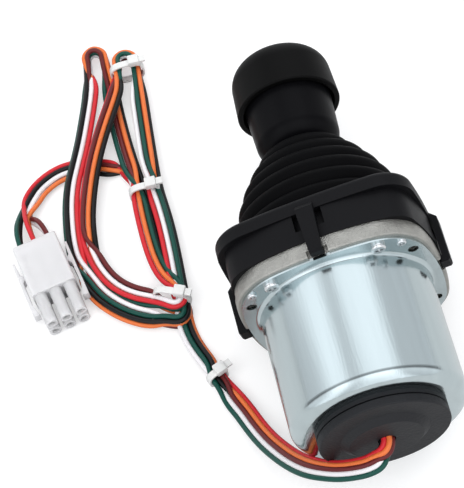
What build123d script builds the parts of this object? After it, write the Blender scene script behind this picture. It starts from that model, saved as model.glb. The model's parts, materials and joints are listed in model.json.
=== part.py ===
from build123d import *
from math import acos, atan2, cos, degrees, pi, radians, sin, sqrt, tan
import os

# Two-axis hand joystick with a lift-to-unlock knob, lying on its side with its wire harness beside it.
# Every piece is modelled upright: Z runs along the lever towards the knob and z = 0 is the
# underside of the can's flange. At the end the whole joystick is laid down on a snap hook and
# a corner of its bezel, as it rests on a table. The harness is modelled where it lies.

os.makedirs("parts", exist_ok=True)

# Fits
running = 0.06
press = 0.02
gap = 0.3
clear_of_motion = 0.6

# Deep-drawn can with a square flange
can_radius = 35.0
sheet = 1.2
can_depth = 54.0
can_end_radius = 5.0
flange_bend = 1.7
flange_overhang = 4.6
flange_half = can_radius + flange_overhang
side_bulge = 110.0
flange_corner = 22.0
cable_hole_radius = 23.8

# Die-cast frame between flange and bezel
lip_overhang = 1.6
lip_half = flange_half + lip_overhang
lip_height = 2.9
band_step = 0.5
band_half = lip_half - band_step
band_height = 3.9
lip_round = 0.9
floor_height = 3.3
floor_bore = 17.0
pocket_radius = can_radius - 2.0
collar_wall = 5.0
collar_height = 4.4
notch_width = 8.4
notch_depth = 1.8

# Moulded bezel with four snap hooks
skirt_half = band_half + 0.6
skirt_bulge = 112.0
skirt_corner = 12.0
skirt_height = 12.7
plate_half = skirt_half + 0.5
plate_bulge = 300.0
plate_corner = 15.0
plate_height = 6.8
plate_round = 2.4
bezel_wall = 2.4
bezel_top = 3.0
hook_proud = 2.8
hook_reach = plate_half + hook_proud
hook_width = 7.0
hook_foot_width = 5.2
hook_arm = 2.7
hook_foot = 0.8
hook_round = 0.8
hook_catch = 1.9
hook_lap = 2.9
window_side = 2.4
window_height = 7.4

# Rubber boot
boot_wall = 1.2
boot_flange = 1.9
boot_base_radius = 35.2
boot_curve = 1.9
boot_neck_radius = 14.6
boot_top = 72.6
boot_rolls = 6
roll_share = 0.72
roll_out = 1.7
roll_in = 0.6
cuff_length = 6.0
cuff_wall = 1.5

# Lever, knob and lock
pivot_depth = 8.0
tilt_limit = 18.0
lever_radius = 5.5
lever_bore = 2.4
rod_tip = 2.5
stud_radius = 4.0
stud_length = 10.6
ring_sink = 0.6
ring_bottom = boot_top - ring_sink
ring_length = 29.5
ring_top = ring_bottom + ring_length
ring_radius = 17.8
ring_top_radius = 18.8
ring_round = 8.8
ring_wall = 2.2
ring_hub_radius = 8.8
ring_hub_length = 20.0
ring_hub_top = ring_bottom + ring_hub_length
knob_overlap = 5.5
knob_rim_height = ring_top - knob_overlap
knob_rim_radius = 22.2
knob_top_radius = 21.5
knob_height = 24.5
knob_round = 10.5
knob_dome = 0.8
knob_skirt_wall = 2.3
knob_hollow = 16.5
knob_boss_radius = 8.5
knob_boss_length = 9.0
insert_radius = 6.0
lock_lift = 6.0
lock_pin_radius = 1.5
lock_pin_depth = 5.0
lock_pin_height = ring_hub_top - lock_pin_depth
lock_rod_radius = 2.0
lock_wire_radius = 0.5
lock_spring_turns = 4

# Gimbal
hub_half_x = 7.5
hub_half_y = 8.5
hub_half_z = 7.0
hub_pin_radius = 2.0
ring_side_x = 5.0
ring_side_y = 4.6
ring_half_z = 4.5
gimbal_pin_radius = 2.5
bush_wall = 1.1
bush_flange = 0.8
lug_inner = 18.0
lug_thickness = 6.0
lug_width = 12.0
lug_below = 6.0
pin_tail = 3.0
bail_cheek = 2.0
bail_cheek_width = 12.0
bail_width = 20.0
bail_drop = 13.5
bail_strap = 2.5

# Sensors, springs, lock plate and circuit board
sensor_side = 13.0
sensor_depth = 6.7
spring_wire_radius = 0.6
spring_turns = 2.5
spring_radius = 4.4
plate_radius = can_radius - 5.0
lock_plate_thickness = 2.0
post_circle = plate_radius - 3.0
post_radius = 2.6
post_spigot = 1.5
spacer_height = 4.0
board_thickness = 1.6
board_screw_radius = 1.5
header_length = 16.0
header_width = 8.0
header_height = 5.0
header_corner = 0.6
header_clearance = 3.5
leads_radius = 3.1

# Screws and holes in the flange
pan_screw_x = 21.7
pan_screw_y = 33.3
pan_head_radius = 3.0
pan_head_height = 2.1
pan_shank_radius = 1.5
pan_length = 5.5
small_screw_place = 30.4
small_head_radius = 1.9
small_head_height = 1.2
small_shank_radius = 1.0
small_length = 3.5
mount_hole_x = 33.3
mount_hole_y = 21.9
mount_hole_radius = 2.1

# Rubber cable grommet
grommet_radius = 26.0
grommet_disc = 3.3
grommet_groove = 0.6
grommet_tier = 1.6
grommet_inner = 2.4
nose_radius = 14.6
nose_base_radius = 17.6
nose_height = 2.2
wire_hole_radius = 3.6

# Harness, modelled where it lies, with z = 0 as the table
bundle_radius = 3.4
exit_run = 12.0
exit_fall = 4.6
cord_share = 0.45
hank_height = 10.4
hank_round = 2.0
tie_thickness = 1.2
tie_width = 4.6
pin_pitch = 6.7
housing_length = 26.0
housing_round = 1.2
silo_length = 15.0
silo_radius = 2.7
silo_bore = 1.7
wire_radius = 1.1
contact_radius = 1.0
wing_thickness = 1.4
wing_width = 5.0

# Heights that follow from the sizes above
seam = sheet + lip_height
band_top = seam + band_height
collar_top = band_top + collar_height
floor_top = sheet + floor_height
skirt_top = band_top + skirt_height
bezel_top_face = skirt_top + plate_height
pivot = -pivot_depth
collar_radius = pocket_radius + collar_wall
knob_top = knob_rim_height + knob_height
boss_bottom = knob_rim_height + knob_hollow - knob_boss_length
grommet_face = -can_depth - grommet_tier - grommet_groove - grommet_disc
nose_face = grommet_face - nose_height
board_under = -can_depth + sheet + grommet_inner + header_clearance + header_height
board_top = board_under + board_thickness
plate_top = board_top + spacer_height + lock_plate_thickness
rod_reach = pivot - gap - plate_top
lever_foot = rod_reach - rod_tip
boot_seat = collar_top
boot_start = bezel_top_face + boot_wall
cuff_top = ring_bottom - gap
arm_inside = hook_reach - hook_arm
hook_top = skirt_top + hook_lap
lock_bore_top = lock_pin_height + 2 * lock_pin_radius + lock_lift + clear_of_motion
lug_outer = lug_inner + lug_thickness
bush_radius = gimbal_pin_radius + running + bush_wall
bush_face = lug_inner - bush_flange - gap


def bulged_square(half, bulge, corner):
    """Rounded square whose four sides bow outwards along arcs of radius bulge."""
    centre = bulge - half
    reach = (sqrt(2 * bulge**2 - centre**2) - centre) / 2
    with BuildSketch() as outline:
        with BuildLine():
            ThreePointArc((reach, -reach), (half, 0), (reach, reach))
            ThreePointArc((reach, reach), (0, half), (-reach, reach))
            ThreePointArc((-reach, reach), (-half, 0), (-reach, -reach))
            ThreePointArc((-reach, -reach), (0, -half), (reach, -reach))
        make_face()
        fillet(outline.vertices(), corner)
    return outline.sketch


def turn(*profile):
    """Turn a closed profile of (radius, height) points about the upright axis."""
    with BuildSketch(Plane.XZ) as section:
        with BuildLine():
            Polyline(*profile, close=True)
        make_face()
    revolve(section.sketch, axis=Axis.Z)


def rod(start, end, radius, mode=Mode.ADD):
    """Round bar from one point to another."""
    line = Vector(*end) - Vector(*start)
    with BuildSketch(Plane(origin=start, z_dir=line)) as section:
        Circle(radius)
    extrude(section.sketch, amount=line.length, mode=mode)


def circle_edges(builder, height, radius):
    """Round edges of a builder at one height and radius."""
    rings = builder.edges().filter_by(GeomType.CIRCLE)
    return rings.filter_by(
        lambda edge: abs(edge.radius - radius) < 0.01 and abs(edge.center().Z - height) < 0.01
    )


def facing(angle, distance):
    """Plane that looks out from the pivot, with its first axis sideways and its second upwards."""
    turned = radians(angle)
    return Plane(
        origin=(distance * cos(turned), distance * sin(turned), pivot),
        x_dir=(-sin(turned), cos(turned), 0),
        z_dir=(cos(turned), sin(turned), 0),
    )


def side_plane(angle):
    """Upright plane through the middle of one side, with radius and height as its axes."""
    turned = radians(angle)
    return Plane(
        origin=(0, 0, 0),
        x_dir=(cos(turned), sin(turned), 0),
        z_dir=(sin(turned), -cos(turned), 0),
    )


flange_outline = bulged_square(flange_half, side_bulge, flange_corner)
lip_outline = bulged_square(lip_half, side_bulge, flange_corner)
band_outline = bulged_square(band_half, side_bulge, flange_corner)
skirt_outline = bulged_square(skirt_half, skirt_bulge, skirt_corner)
skirt_inside = bulged_square(skirt_half - bezel_wall, skirt_bulge - bezel_wall, skirt_corner - bezel_wall)
plate_outline = bulged_square(plate_half, plate_bulge, plate_corner)

pan_places = [(x, y) for x in (-pan_screw_x, pan_screw_x) for y in (-pan_screw_y, pan_screw_y)]
small_places = [
    (x, y) for x in (-small_screw_place, small_screw_place) for y in (-small_screw_place, small_screw_place)
]
mount_places = [(x, y) for x in (-mount_hole_x, mount_hole_x) for y in (-mount_hole_y, mount_hole_y)]
quarters = [0, 90, 180, 270]
post_places = [(x * post_circle * sqrt(0.5), y * post_circle * sqrt(0.5)) for x in (-1, 1) for y in (-1, 1)]

# Can: one deep-drawn cup, with its square flange turned out at the mouth
with BuildPart() as can_hollow:
    with BuildSketch(Plane.XY.offset(sheet)):
        Circle(can_radius - sheet)
    extrude(amount=-can_depth)
    fillet(can_hollow.edges().group_by(Axis.Z)[0], can_end_radius - sheet)
with BuildPart() as can:
    with BuildSketch(Plane.XY):
        add(flange_outline)
    extrude(amount=sheet)
    with BuildSketch(Plane.XY):
        Circle(can_radius)
    extrude(amount=-can_depth)
    fillet(circle_edges(can, -can_depth, can_radius), can_end_radius)
    fillet(circle_edges(can, 0, can_radius), flange_bend)
    add(can_hollow.part, mode=Mode.SUBTRACT)
    fillet(circle_edges(can, sheet, can_radius - sheet), flange_bend)
    with BuildSketch(Plane.XY.offset(-can_depth)):
        Circle(cable_hole_radius)
    extrude(amount=2 * sheet, mode=Mode.SUBTRACT)
    with BuildSketch(Plane.XY):
        with Locations(*pan_places):
            Circle(pan_shank_radius + gap)
        with Locations(*small_places):
            Circle(small_shank_radius + gap)
        with Locations(*mount_places):
            Circle(mount_hole_radius)
    extrude(amount=sheet, mode=Mode.SUBTRACT)

# Cast frame: carries the bezel and the boot above, and the bearing lugs below
with BuildPart() as mounting_frame:
    with BuildSketch(Plane.XY.offset(sheet)):
        add(lip_outline)
    extrude(amount=lip_height)
    fillet(mounting_frame.edges().group_by(Axis.Z)[0], lip_round)
    with BuildSketch(Plane.XY.offset(seam)):
        add(band_outline)
    extrude(amount=band_height)
    with BuildSketch(Plane.XY.offset(band_top)):
        Circle(collar_radius)
    extrude(amount=collar_height)
    with BuildSketch(Plane.XY.offset(floor_top)):
        Circle(pocket_radius)
    extrude(amount=collar_top - floor_top, mode=Mode.SUBTRACT)
    with BuildSketch(Plane.XY.offset(sheet)):
        Circle(floor_bore)
    extrude(amount=floor_height, mode=Mode.SUBTRACT)
    for angle in quarters:
        with BuildSketch(facing(angle, lug_inner)):
            with Locations((0, (floor_top - pivot) / 2)):
                Rectangle(lug_width, floor_top - pivot)
            Circle(lug_below)
        extrude(amount=lug_thickness)
        with BuildSketch(facing(angle, lug_inner)):
            Circle(bush_radius + press)
        extrude(amount=lug_thickness, mode=Mode.SUBTRACT)
        with BuildSketch(side_plane(angle)):
            with Locations((lip_half, sheet + lip_height / 2)):
                Rectangle(2 * notch_depth, lip_height)
        extrude(amount=notch_width / 2, both=True, mode=Mode.SUBTRACT)
    with BuildSketch(Plane.XY.offset(sheet)):
        with Locations(*pan_places):
            Circle(pan_shank_radius + press)
    extrude(amount=pan_length - sheet + gap, mode=Mode.SUBTRACT)
    with BuildSketch(Plane.XY.offset(sheet)):
        with Locations(*small_places):
            Circle(small_shank_radius + press)
        with Locations(*post_places):
            Circle(post_spigot + press)
    extrude(amount=small_length - sheet + gap, mode=Mode.SUBTRACT)
    with BuildSketch(Plane.XY.offset(sheet)):
        with Locations(*mount_places):
            Circle(mount_hole_radius)
    extrude(amount=lip_height + band_height, mode=Mode.SUBTRACT)

# Snap hook: a rib that narrows downwards, with a catch that snaps under the frame
with BuildPart() as hook:
    with BuildSketch(Plane.XZ):
        with BuildLine():
            Polyline(
                (hook_reach, hook_top - hook_proud),
                (hook_reach, hook_foot + hook_round),
                (hook_reach - hook_round, hook_foot),
                (arm_inside - hook_catch + hook_round, hook_foot),
                (arm_inside - hook_catch, hook_foot + hook_round),
                (arm_inside - hook_catch, seam - gap / 2),
                (arm_inside, seam - gap / 2),
                (arm_inside, skirt_top),
                (skirt_half - bezel_wall, skirt_top),
                (skirt_half - bezel_wall, hook_top),
                (plate_half, hook_top),
                close=True,
            )
        make_face()
    extrude(amount=hook_width / 2, both=True)
    with BuildSketch(Plane.YZ):
        with BuildLine():
            Polyline(
                (hook_width / 2, hook_top),
                (-hook_width / 2, hook_top),
                (-hook_width / 2, skirt_top),
                (-hook_foot_width / 2, hook_foot),
                (hook_foot_width / 2, hook_foot),
                (hook_width / 2, skirt_top),
                close=True,
            )
        make_face()
    extrude(amount=hook_reach, mode=Mode.INTERSECT)

# Bezel: one moulding, with a hook in the middle of each side
with BuildPart() as bezel:
    with BuildSketch(Plane.XY.offset(band_top)):
        add(skirt_outline)
    extrude(amount=skirt_height)
    with BuildSketch(Plane.XY.offset(skirt_top)):
        add(plate_outline)
    extrude(amount=plate_height)
    fillet(bezel.edges().group_by(Axis.Z)[-1], plate_round)
    with BuildSketch(Plane.XY.offset(band_top)):
        add(skirt_inside)
    extrude(amount=bezel_top_face - bezel_top - band_top, mode=Mode.SUBTRACT)
    with BuildSketch(Plane.XY.offset(boot_seat + boot_flange)):
        Circle(collar_radius)
    extrude(amount=bezel_top_face - bezel_top - boot_seat - boot_flange)
    with BuildSketch(Plane.XY.offset(band_top)):
        Circle(boot_base_radius + gap)
    extrude(amount=bezel_top_face - band_top, mode=Mode.SUBTRACT)
    for angle in quarters:
        with BuildSketch(side_plane(angle)):
            with Locations((skirt_half, skirt_top - window_height / 2)):
                Rectangle(2 * bezel_wall + 2 * gap, window_height)
        extrude(amount=hook_width / 2 + window_side, both=True, mode=Mode.SUBTRACT)
        add(hook.part, rotation=(0, 0, angle))

# Boot: moulded rubber rolls that step in from the bezel to a cuff on the lever

def boot_place(share):
    """Point on the boot's outer line, from its base at share 0 to its neck at share 1."""
    radius = boot_base_radius - (boot_base_radius - boot_neck_radius) * share**boot_curve
    return Vector(radius, boot_start + (boot_top - boot_start) * share)


def boot_line(inset):
    """Rolls and the narrow grooves between them, set in by one wall or by nothing."""
    shares = [0.0]
    for roll in range(boot_rolls):
        shares.append((roll + roll_share) / boot_rolls)
        shares.append((roll + 1) / boot_rolls)
    shares = shares[:-1]
    lean = (boot_place(1) - boot_place(0)).normalized()
    shift = Vector(-lean.Y, lean.X) * inset
    points = [boot_place(share) + shift for share in shares]
    for number, (start, end) in enumerate(zip(points, points[1:])):
        depth = roll_out if number % 2 == 0 else -roll_in
        across = (end - start).normalized()
        middle = (start + end) / 2 + Vector(across.Y, -across.X) * depth
        ThreePointArc(start, middle, end)
    return points


with BuildPart() as bellows_boot:
    with BuildSketch(Plane.XZ):
        with BuildLine():
            outside = boot_line(0)
            inside = boot_line(boot_wall)
            Polyline(
                outside[0],
                (boot_base_radius, boot_seat + boot_flange),
                (collar_radius, boot_seat + boot_flange),
                (collar_radius, boot_seat),
                (pocket_radius, boot_seat),
                (pocket_radius, boot_seat + boot_flange),
                (boot_base_radius - boot_wall, boot_seat + boot_flange + boot_wall),
                inside[0],
            )
            Polyline(
                outside[-1],
                (boot_neck_radius - 2 * boot_wall, cuff_top),
                (lever_radius + gap, cuff_top),
                (lever_radius + gap, cuff_top - cuff_length),
                (lever_radius + gap + cuff_wall, cuff_top - cuff_length),
                (lever_radius + gap + cuff_wall, cuff_top - boot_wall),
                (boot_neck_radius - 3 * boot_wall, cuff_top - boot_wall),
                inside[-1],
            )
        make_face()
    revolve(axis=Axis.Z)

# Grommet: rubber disc that closes the can, with a raised nose round the wires
with BuildPart() as cable_grommet:
    turn(
        (wire_hole_radius, nose_face),
        (nose_radius, nose_face),
        (nose_base_radius, grommet_face),
        (grommet_radius, grommet_face),
        (grommet_radius, grommet_face + grommet_disc),
        (grommet_radius - 2 * grommet_groove, grommet_face + grommet_disc),
        (grommet_radius - 2 * grommet_groove, grommet_face + grommet_disc + grommet_groove),
        (grommet_radius, grommet_face + grommet_disc + grommet_groove),
        (grommet_radius, -can_depth),
        (cable_hole_radius, -can_depth),
        (cable_hole_radius, sheet - can_depth),
        (grommet_radius, sheet - can_depth),
        (grommet_radius - sheet, sheet - can_depth + grommet_inner),
        (wire_hole_radius, sheet - can_depth + grommet_inner),
    )
    fillet(circle_edges(cable_grommet, grommet_face, grommet_radius), grommet_groove)
    fillet(circle_edges(cable_grommet, nose_face, nose_radius), grommet_groove)

# Screws in the flange: four that hold the can to the frame, and four small ones
with BuildPart() as can_screws:
    with BuildSketch(Plane.XY):
        with Locations(*pan_places):
            Circle(pan_head_radius)
    extrude(amount=-pan_head_height)
    fillet(can_screws.edges().group_by(Axis.Z)[0], pan_head_height / 2)
    with BuildSketch(Plane.XY):
        with Locations(*pan_places):
            Circle(pan_shank_radius)
    extrude(amount=pan_length)
    with BuildSketch(Plane.XY.offset(-pan_head_height)):
        with Locations(*pan_places):
            Rectangle(pan_head_radius, pan_head_radius / 4)
            Rectangle(pan_head_radius / 4, pan_head_radius)
    extrude(amount=pan_head_height / 2, mode=Mode.SUBTRACT)

with BuildPart() as frame_screws:
    with BuildSketch(Plane.XY):
        with Locations(*small_places):
            Circle(small_head_radius)
    extrude(amount=-small_head_height)
    fillet(frame_screws.edges().group_by(Axis.Z)[0], small_head_height / 2)
    with BuildSketch(Plane.XY):
        with Locations(*small_places):
            Circle(small_shank_radius)
    extrude(amount=small_length)
    with BuildSketch(Plane.XY.offset(-small_head_height)):
        with Locations(*small_places):
            Rectangle(small_head_radius, small_head_radius / 4)
            Rectangle(small_head_radius / 4, small_head_radius)
    extrude(amount=small_head_height / 2, mode=Mode.SUBTRACT)

# Lever: a tube, so that the lock rod can slide inside it
slot_low = lock_pin_height - lock_pin_radius - gap
slot_high = lock_pin_height + lock_pin_radius + lock_lift + gap
with BuildPart() as lever_shaft:
    turn(
        (lever_bore, pivot - lever_foot),
        (lever_radius, pivot - lever_foot),
        (lever_radius, boss_bottom),
        (stud_radius, boss_bottom),
        (stud_radius, boss_bottom + stud_length),
        (0, boss_bottom + stud_length),
        (0, lock_bore_top),
        (lever_bore, lock_bore_top),
    )
    with BuildSketch(Plane.XZ):
        with Locations((0, (slot_low + slot_high) / 2)):
            SlotOverall(slot_high - slot_low, 2 * (lock_pin_radius + running), rotation=90)
    extrude(amount=lever_radius, both=True, mode=Mode.SUBTRACT)

with BuildPart() as lock_rod:
    turn(
        (0, pivot - rod_reach),
        (lock_rod_radius, pivot - rod_reach),
        (lock_rod_radius, lock_pin_height + 2 * lock_pin_radius),
        (0, lock_pin_height + 2 * lock_pin_radius),
    )
    rod((0, -lever_radius, lock_pin_height), (0, lever_radius, lock_pin_height), lock_pin_radius + press,
        Mode.SUBTRACT)

with BuildPart() as lock_pin:
    rod((0, gap - ring_hub_radius, lock_pin_height), (0, ring_hub_radius - gap, lock_pin_height),
        lock_pin_radius)

# Lock ring: the lower sleeve of the knob, which the fingers lift to unlock the lever
ring_shoulder = ring_radius - ring_round
ring_turn = ring_bottom + ring_round
bend = sqrt(0.5)
with BuildPart() as lock_ring:
    with BuildSketch(Plane.XZ):
        with BuildLine():
            ThreePointArc(
                (ring_shoulder, ring_bottom),
                (ring_shoulder + ring_round * bend, ring_turn - ring_round * bend),
                (ring_radius, ring_turn),
            )
            Polyline(
                (ring_radius, ring_turn),
                (ring_top_radius, ring_top),
                (ring_top_radius - ring_wall, ring_top),
                (ring_radius - ring_wall, ring_turn),
            )
            inner_round = ring_round - ring_wall
            ThreePointArc(
                (ring_radius - ring_wall, ring_turn),
                (ring_shoulder + inner_round * bend, ring_turn - inner_round * bend),
                (ring_shoulder, ring_bottom + ring_wall),
            )
            Polyline(
                (ring_shoulder, ring_bottom + ring_wall),
                (ring_hub_radius, ring_bottom + ring_wall),
                (ring_hub_radius, ring_hub_top),
                (lever_radius + running, ring_hub_top),
                (lever_radius + running, ring_bottom),
                (ring_shoulder, ring_bottom),
            )
        make_face()
    revolve(axis=Axis.Z)
    rod((0, -ring_hub_radius, lock_pin_height), (0, ring_hub_radius, lock_pin_height),
        lock_pin_radius + press, Mode.SUBTRACT)

# Knob: a cap with an open skirt that the lock ring slides up into
dome_edge = knob_top_radius - knob_round
dome_radius = (dome_edge**2 + knob_dome**2) / (2 * knob_dome)
with BuildPart() as knob_cap:
    with BuildSketch(Plane.XZ):
        with BuildLine():
            Polyline((knob_rim_radius, knob_rim_height), (knob_top_radius, knob_top - knob_round))
            ThreePointArc(
                (knob_top_radius, knob_top - knob_round),
                (knob_top_radius - knob_round * (1 - bend), knob_top - knob_round * (1 - bend)),
                (dome_edge, knob_top),
            )
            ThreePointArc(
                (dome_edge, knob_top),
                (dome_edge / 2, knob_top + knob_dome - dome_radius + sqrt(dome_radius**2 - dome_edge**2 / 4)),
                (0, knob_top + knob_dome),
            )
            Polyline(
                (0, knob_top + knob_dome),
                (0, boss_bottom + stud_length + gap),
                (insert_radius, boss_bottom + stud_length + gap),
                (insert_radius, boss_bottom),
                (knob_boss_radius, boss_bottom),
                (knob_boss_radius, boss_bottom + knob_boss_length),
                (knob_top_radius - knob_skirt_wall, boss_bottom + knob_boss_length),
                (knob_rim_radius - knob_skirt_wall, knob_rim_height),
                (knob_rim_radius, knob_rim_height),
            )
        make_face()
    revolve(axis=Axis.Z)
    fillet(circle_edges(knob_cap, knob_rim_height, knob_rim_radius), knob_skirt_wall / 3)

with BuildPart() as knob_insert:
    turn(
        (stud_radius + press, boss_bottom),
        (insert_radius - press, boss_bottom),
        (insert_radius - press, boss_bottom + stud_length),
        (stud_radius + press, boss_bottom + stud_length),
    )

spring_room = boss_bottom - ring_hub_top - 2 * gap
lock_spring_radius = (lever_radius + ring_hub_radius) / 2
with BuildPart() as lock_spring:
    with BuildLine(Plane.XY.offset(ring_hub_top + gap + lock_wire_radius)) as coil:
        Helix(
            (spring_room - 2 * lock_wire_radius) / lock_spring_turns,
            spring_room - 2 * lock_wire_radius,
            lock_spring_radius,
        )
    with BuildSketch(Plane(origin=coil.line @ 0, z_dir=coil.line % 0)):
        Circle(lock_wire_radius)
    sweep()

# Gimbal: a block on the lever turns in a ring, and the ring turns in the frame's lugs
with BuildPart() as pivot_hub:
    with BuildSketch(Plane.XY.offset(pivot - hub_half_z)):
        RectangleRounded(2 * hub_half_x, 2 * hub_half_y, hub_pin_radius)
        Circle(lever_radius + press, mode=Mode.SUBTRACT)
    extrude(amount=2 * hub_half_z)
    rod((0, -hub_half_y, pivot), (0, hub_half_y, pivot), hub_pin_radius + press, Mode.SUBTRACT)

ring_inside_x = hub_half_x * cos(radians(tilt_limit)) + hub_half_z * sin(radians(tilt_limit)) + clear_of_motion
ring_inside_y = hub_half_y + gap
ring_outside_x = ring_inside_x + ring_side_x
ring_outside_y = ring_inside_y + ring_side_y
ring_bush_radius = hub_pin_radius + running + bush_wall
with BuildPart() as hub_pins:
    for side in (-1, 1):
        rod(
            (0, side * (lever_radius + gap), pivot),
            (0, side * (ring_outside_y - gap), pivot),
            hub_pin_radius,
        )

with BuildPart() as gimbal_ring:
    with BuildSketch(Plane.XY.offset(pivot - ring_half_z)):
        RectangleRounded(2 * ring_outside_x, 2 * ring_outside_y, ring_side_x)
        RectangleRounded(2 * ring_inside_x, 2 * ring_inside_y, ring_side_x / 2, mode=Mode.SUBTRACT)
    extrude(amount=2 * ring_half_z)
    for side in (-1, 1):
        rod((side * ring_inside_x, 0, pivot), (side * bush_face, 0, pivot), ring_half_z - gap)
        rod((side * ring_inside_x, 0, pivot), (side * bush_face, 0, pivot), gimbal_pin_radius + press,
            Mode.SUBTRACT)
        rod((0, side * ring_inside_y, pivot), (0, side * ring_outside_y, pivot), ring_bush_radius + press,
            Mode.SUBTRACT)

with BuildPart() as ring_bushes:
    for side in (-1, 1):
        rod((0, side * ring_inside_y, pivot), (0, side * ring_outside_y, pivot), ring_bush_radius)
        rod((0, side * ring_inside_y, pivot), (0, side * ring_outside_y, pivot), hub_pin_radius + running,
            Mode.SUBTRACT)

# Each axis has its sensor beyond one lug and its centring spring beyond the other
spring_length = sensor_depth - pin_tail / 2
with BuildPart() as gimbal_pins:
    rod((ring_inside_x + gap, 0, pivot), (lug_outer + pin_tail, 0, pivot), gimbal_pin_radius)
    rod((-ring_inside_x - gap, 0, pivot), (-lug_outer - spring_length, 0, pivot), gimbal_pin_radius)

with BuildPart() as frame_bushes:
    for angle in quarters:
        with BuildSketch(facing(angle, bush_face + gap)):
            Circle(bush_radius + bush_flange)
            Circle(gimbal_pin_radius + running, mode=Mode.SUBTRACT)
        extrude(amount=bush_flange)
        with BuildSketch(facing(angle, lug_inner)):
            Circle(bush_radius)
            Circle(gimbal_pin_radius + running, mode=Mode.SUBTRACT)
        extrude(amount=lug_thickness)

# Bail: a slotted strap that follows the lever's side tilt and turns the second sensor
with BuildPart() as sensor_bail:
    for angle in (90, 270):
        with BuildSketch(facing(angle, bush_face - bail_cheek)):
            Circle(bail_cheek_width / 2)
            with Locations((0, -(bail_drop + bail_strap) / 2)):
                Rectangle(bail_cheek_width, bail_drop + bail_strap)
        extrude(amount=bail_cheek)
    with BuildSketch(Plane.XY.offset(pivot - bail_drop - bail_strap)):
        RectangleRounded(bail_width, 2 * bush_face, bail_cheek)
    extrude(amount=bail_strap)
    slot_width = 2 * (lever_radius + clear_of_motion)
    slot_travel = (bail_drop + bail_strap) * tan(radians(tilt_limit)) + clear_of_motion
    with BuildSketch(Plane.XY.offset(pivot - bail_drop - bail_strap)):
        SlotCenterToCenter(2 * slot_travel, slot_width, rotation=90)
    extrude(amount=bail_strap, mode=Mode.SUBTRACT)
    rod((0, -bush_face, pivot), (0, bush_face, pivot), gimbal_pin_radius + press, Mode.SUBTRACT)

with BuildPart() as bail_pins:
    rod((0, bush_face - bail_cheek, pivot), (0, lug_outer + pin_tail, pivot), gimbal_pin_radius)
    rod((0, bail_cheek - bush_face, pivot), (0, -lug_outer - spring_length, pivot), gimbal_pin_radius)


def draw_sensor(angle):
    """Rotary sensor on the outer face of a lug, with a blind bore for the pin's end."""
    with BuildSketch(facing(angle, lug_outer)) as section:
        RectangleRounded(sensor_side, sensor_side, post_spigot)
    extrude(section.sketch, amount=sensor_depth)
    with BuildSketch(facing(angle, lug_outer)) as bore:
        Circle(gimbal_pin_radius + running)
    extrude(bore.sketch, amount=pin_tail + gap, mode=Mode.SUBTRACT)


coil_height = spring_length - 2 * spring_wire_radius - gap
with BuildPart() as pin_spring:
    with BuildLine() as coil:
        Helix(coil_height / spring_turns, coil_height, spring_radius)
    with BuildSketch(Plane(origin=coil.line @ 0, z_dir=coil.line % 0)):
        Circle(spring_wire_radius)
    sweep()

with BuildPart() as fore_aft_sensor:
    draw_sensor(0)
with BuildPart() as side_sensor:
    draw_sensor(90)
with BuildPart() as fore_aft_spring:
    add(pin_spring.part.moved(facing(180, lug_outer + gap + spring_wire_radius).location))
with BuildPart() as side_spring:
    add(pin_spring.part.moved(facing(270, lug_outer + gap + spring_wire_radius).location))

# Lock plate and circuit board, hung from the frame on four posts
with BuildPart() as chassis_posts:
    with BuildSketch(Plane.XY.offset(plate_top)):
        with Locations(*post_places):
            Circle(post_radius)
    extrude(amount=sheet - plate_top)
    with BuildSketch(Plane.XY.offset(sheet)):
        with Locations(*post_places):
            Circle(post_spigot)
    extrude(amount=small_length - sheet)
    with BuildSketch(Plane.XY.offset(plate_top)):
        with Locations(*post_places):
            Circle(board_screw_radius + press)
    extrude(amount=2 * spacer_height + gap, mode=Mode.SUBTRACT)

with BuildPart() as lock_plate:
    with BuildSketch(Plane.XY.offset(plate_top - lock_plate_thickness)):
        Circle(plate_radius)
        Circle(lock_rod_radius + gap, mode=Mode.SUBTRACT)
        with Locations(*post_places):
            Circle(board_screw_radius + gap, mode=Mode.SUBTRACT)
    extrude(amount=lock_plate_thickness)

with BuildPart() as board_spacers:
    with BuildSketch(Plane.XY.offset(board_top)):
        with Locations(*post_places):
            Circle(post_radius)
            Circle(board_screw_radius + gap, mode=Mode.SUBTRACT)
    extrude(amount=spacer_height)

with BuildPart() as circuit_board:
    with BuildSketch(Plane.XY.offset(board_top - board_thickness)):
        Circle(plate_radius)
        with Locations(*post_places):
            Circle(board_screw_radius + gap, mode=Mode.SUBTRACT)
    extrude(amount=board_thickness)

with BuildPart() as board_screws:
    with BuildSketch(Plane.XY.offset(board_under)):
        with Locations(*post_places):
            Circle(post_radius)
    extrude(amount=-board_screw_radius)
    with BuildSketch(Plane.XY.offset(board_under)):
        with Locations(*post_places):
            Circle(board_screw_radius)
    extrude(amount=plate_top + 2 * spacer_height - board_under)

with BuildPart() as board_header:
    with BuildSketch(Plane.XY.offset(board_under)):
        RectangleRounded(header_length, header_width, header_corner)
    extrude(amount=-header_height)

lead_start = nose_face + header_height
with BuildPart() as inner_leads:
    rod((0, 0, board_under - header_height), (0, 0, lead_start), leads_radius)

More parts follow.
